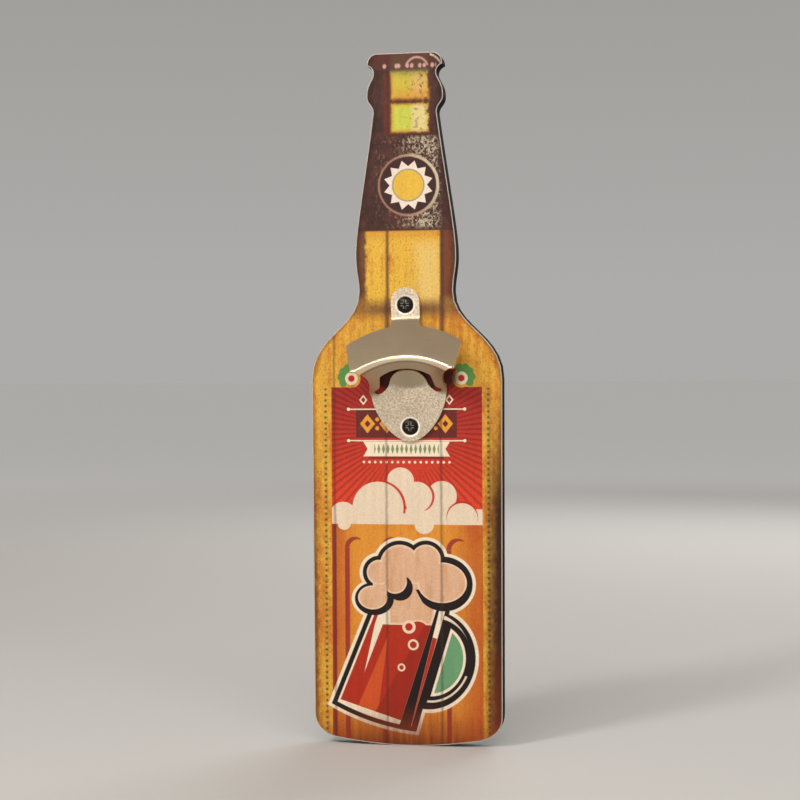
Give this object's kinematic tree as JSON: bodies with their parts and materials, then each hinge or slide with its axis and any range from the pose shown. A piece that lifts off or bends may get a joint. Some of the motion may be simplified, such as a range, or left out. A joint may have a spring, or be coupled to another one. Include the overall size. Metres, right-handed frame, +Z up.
{
  "type": "souvenir bottle opener",
  "caption": "Bottle-shaped wall board with a printed face, a stamped steel cap opener screwed to its front, and keyhole hangers in its back.",
  "frame": {"origin": "middle of the board's height and width, on its back face, which lies against the wall", "axes": "+Z up along the bottle, +Y into the wall, +X to the right as seen from the front"},
  "size_m": [0.1114, 0.0353, 0.4],
  "materials": {
    "board": "fibreboard, edges and back painted matt black",
    "print": "satin printed sheet with a weathered-wood picture in yellow, brown and red",
    "steel": "blasted stainless steel, satin",
    "black_screw": "black oxide",
    "zinc": "zinc-plated steel, slightly dull"
  },
  "bodies": {
    "root": {"backing_board": "board", "printed_face": "print", "opener_bracket": "steel", "opener_screw_upper": "black_screw", "opener_screw_lower": "black_screw", "hanger_plate_upper": "zinc", "hanger_plate_lower": "zinc", "hanger_screw_upper_low": "zinc", "hanger_screw_upper_high": "zinc", "hanger_screw_lower_low": "zinc", "hanger_screw_lower_high": "zinc"}
  },
  "joints": []
}
